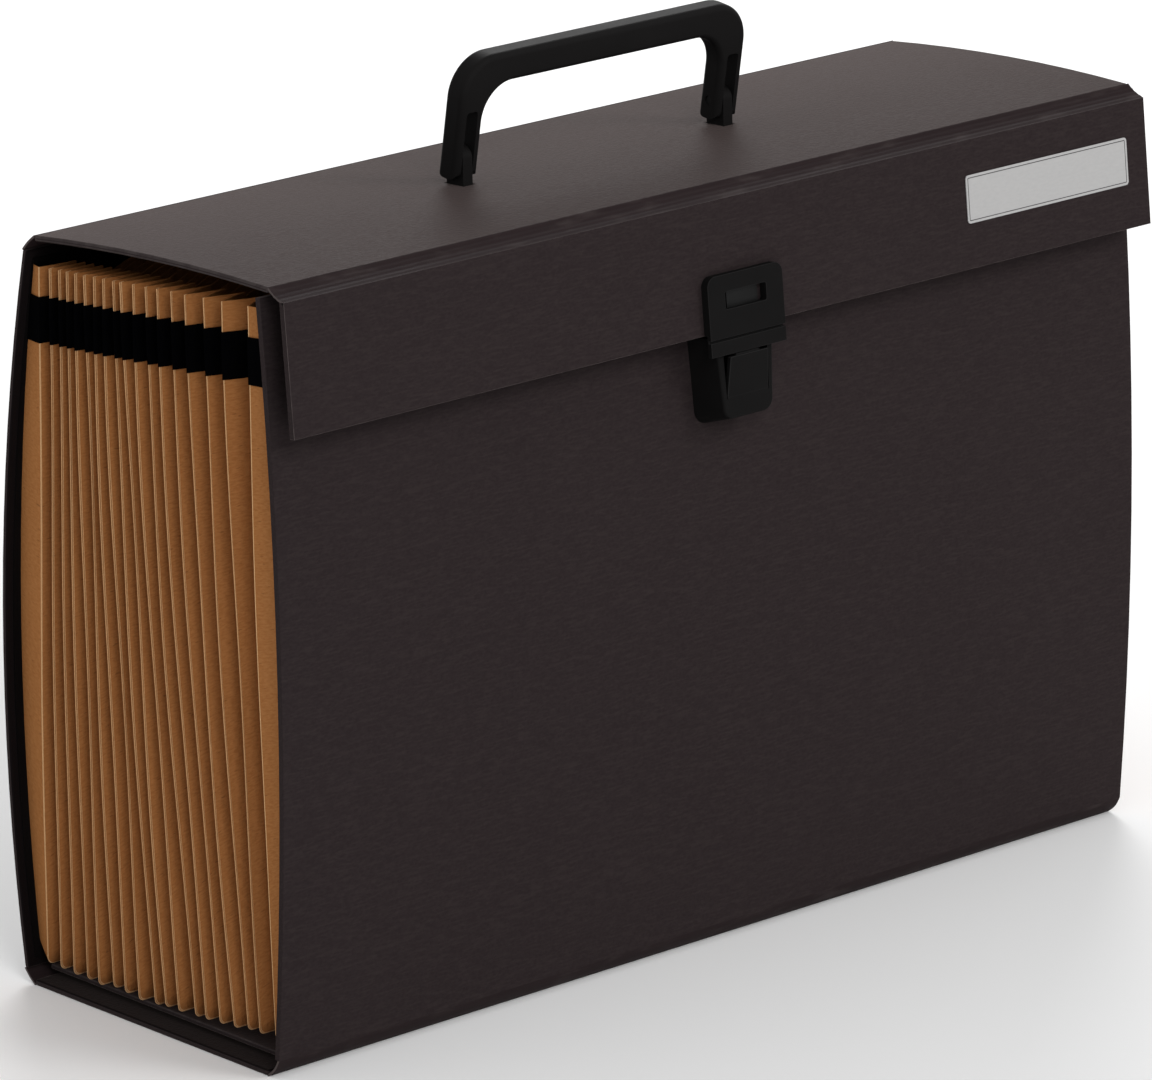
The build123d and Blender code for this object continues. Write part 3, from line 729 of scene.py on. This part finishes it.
tape_drop, tape_height = 0.0098, 0.0153
tape_proud, tape_thickness = 0.0004, 0.00025
for pocket in range(1, pockets + 1):
    for side, end in ((-1, "left"), (1, "right")):
        def tape_point(u, v):
            share = (pocket - 1 + u) / pockets
            return pleat_point(share, rim_height(share) - tape_drop - tape_height * v, side)

        shape, _ = pleated_sheet(along=4, point=tape_point)
        turned_to(shape, Vector((side, 0, 0)))
        shape.normal_update()
        for vert in shape.verts:
            vert.co += vert.normal * tape_proud
        thickened(shape, tape_thickness)
        piece = placed(f"tape_{end}_{pocket:02d}", shape, tape)
        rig.slot(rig.replaces(piece, f"{end}_band"), "tape")
        share_of(piece, pocket)

# ---- the handle ----
# A bail moulded in black plastic with a faint texture. It turns on two steel pins in lugs that come
# up through the lid from a plate inside it.
clean_black, handled_black = (0.0080, 0.0076, 0.0076, 1), (0.0115, 0.0108, 0.0108, 1)
worn_and_highlit_black = (0.022, 0.022, 0.022, 1)
moulded = Finish("moulded_plastic", specular=0.015)
at = moulded.on_object()
texture = moulded.noise(at, 1800, 2)
handled = moulded.noise(at, 60, 3)
black = moulded.mixed(handled, clean_black, handled_black)
# Bevels are painted paler: partly wear, partly a painted highlight along the edges.
moulded.feed("Base Color", moulded.mixed(0.5 * moulded.marked("rubbed"), black, worn_and_highlit_black))
moulded.feed("Roughness", 0.34 + 0.14 * texture + 0.10 * handled)
moulded.feed("Normal", moulded.bump(texture, depth=0.00003))
grip_edge, lug_edge = 0.0004, 0.0003
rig.ride(rounded("handle_grip", grip_edge, moulded), "handle")
for name in ("handle_lug_left", "handle_lug_right", "handle_backing_plate"):
    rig.ride(rounded(name, lug_edge, moulded), "lid")

# The pins are blackened steel wire.
steel_black, steel_grey = (0.006, 0.006, 0.006, 1), (0.012, 0.012, 0.012, 1)
blackened = Finish("blackened_steel", Metallic=0.5, specular=0.1)
at = blackened.on_object()
drawn = blackened.noise(at, 1200, 2, stretch=(0.08, 1.0, 1.0))
blackened.feed("Base Color", blackened.mixed(drawn, steel_black, steel_grey))
blackened.feed("Roughness", 0.38 + 0.15 * drawn)
finished("handle_pins", blackened)

# ---- the latch ----
# A plate on the flap with a steel strip behind it, and a case on the front panel whose press tongue
# holds that strip. All but the strip is moulded in a duller black plastic than the handle's.
dull_black, dusty_black = (0.0052, 0.0050, 0.0050, 1), (0.0074, 0.0070, 0.0070, 1)
worn_and_highlit_grey = (0.030, 0.029, 0.029, 1)
dull = Finish("dull_plastic", specular=0.02)
at = dull.on_object()
texture = dull.noise(at, 2200, 2)
black = dull.mixed(dull.noise(at, 80, 3), dull_black, dusty_black)
dull.feed("Base Color", dull.mixed(0.7 * dull.marked("rubbed"), black, worn_and_highlit_grey))
dull.feed("Roughness", 0.42 + 0.12 * texture)
dull.feed("Normal", dull.bump(texture, depth=0.00002))
latch_edge = 0.00025
# The bevels are painted pale grey: partly wear, mostly a painted highlight along the edges.
for name, body in (("hasp_plate", "flap"), ("hasp_backing_plate", "flap"),
                   ("latch_case", "front_panel"), ("latch_backing_plate", "front_panel"),
                   ("latch_tongue", "tongue")):
    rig.ride(rounded(name, latch_edge, dull, wear_and_highlight=0.6), body)

# The tongue is one moulding with its case: a thin web at its foot bends as it is pressed. Its place
# is given from the latch's middle, up the flap and out from it.
flap_up, flap_out = Vector((0, 0.130938, 0.991391)), Vector((0, -0.991391, 0.130938))
latch_origin = Vector((0, -0.0638, 0.2100))
web_half, web_front, web_thickness = 0.0093, 0.00091, 0.0005
web_head, web_foot = -0.0208, -0.0224


def web_point(u, v):
    return (latch_origin + Vector((web_half * (2 * u - 1), 0, 0)) + flap_out * web_front
            + flap_up * (web_foot + (web_head - web_foot) * v))


shape, _ = bent_sheet(across=4, along=4, place=web_point)
turned_to(shape, flap_out)
thickened(shape, web_thickness)
web = placed("tongue_web", shape, dull)
foot_place, head_place = web_point(0.5, 0), web_point(0.5, 1)
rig.slot(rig.blend(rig.replaces(web, "latch_tongue"), "front_panel", "tongue", start=foot_place,
                 end=head_place), "black_plastic")

finished("hasp_strip", blackened)

# Bright steel rivets hold both to their boards from inside.
wire = Finish("bright_steel", Base_Color=(0.55, 0.55, 0.56, 1), Metallic=1.0)
at = wire.on_object()
wire.feed("Roughness", 0.28 + 0.2 * wire.noise(at, 900, 2, stretch=(0.1, 1.0, 1.0)))
for name in ("hasp_rivets", "latch_rivets"):
    finished(name, wire)

# ---- the label ----
# A plain pale label of silvered paper with rounded corners, stuck on the flap. A thin dark line
# runs round it, and it is left blank inside that.
cool_silver, pale_silver = (0.365, 0.360, 0.360, 1), (0.425, 0.420, 0.415, 1)
line_ink = (0.045, 0.043, 0.043, 1)
silvered = Finish("silvered_label", specular=0.3, Metallic=0.15)
at = silvered.on_object()
fine = silvered.noise(at, 1400, 3, stretch=(0.3, 1.0, 1.0))
silver = silvered.mixed(fine, cool_silver, pale_silver)
silvered.feed("Base Color", silvered.mixed(silvered.marked("line"), silver, line_ink))
silvered.feed("Roughness", 0.42 + 0.1 * fine)

label_low, label_high = (Vector(corner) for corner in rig.box("blank_label"))
label_middle_x = (label_low.x + label_high.x) / 2
label_half, label_foot, label_head = 0.039, 0.0150, 0.0310
label_lift, label_thickness = 0.00036, 0.0003
label_corner, label_margin, line_width = 0.0012, 0.0008, 0.0003


def label_point(u, v):
    up = label_foot + (label_head - label_foot) * v
    return (latch_origin + Vector((label_middle_x + label_half * (2 * u - 1), 0, 0))
            + flap_out * label_lift + flap_up * up)


shape, _ = bent_sheet(across=1, along=1, place=label_point)
turned_to(shape, flap_out)
bmesh.ops.bevel(shape, geom=shape.verts[:], offset=label_corner, offset_type="OFFSET", segments=4,
                profile=0.5, affect="VERTICES", clamp_overlap=True, material=-1)
bmesh.ops.inset_region(shape, faces=shape.faces[:], thickness=label_margin, use_boundary=True,
                       use_even_offset=True)
field = [max(shape.faces, key=lambda face: face.calc_area())]
line = bmesh.ops.inset_region(shape, faces=field, thickness=line_width, use_boundary=True,
                              use_even_offset=True)
mark(shape, "line", line["faces"])
thickened(shape, label_thickness)
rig.ride(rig.replaces(placed("label_skin", shape, silvered), "blank_label"), "flap")

with open("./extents.json", "w") as sizes:
    json.dump({"cad": [list(corner) for corner in cad_size],
               "visual": [list(corner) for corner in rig.bounds()]}, sizes)
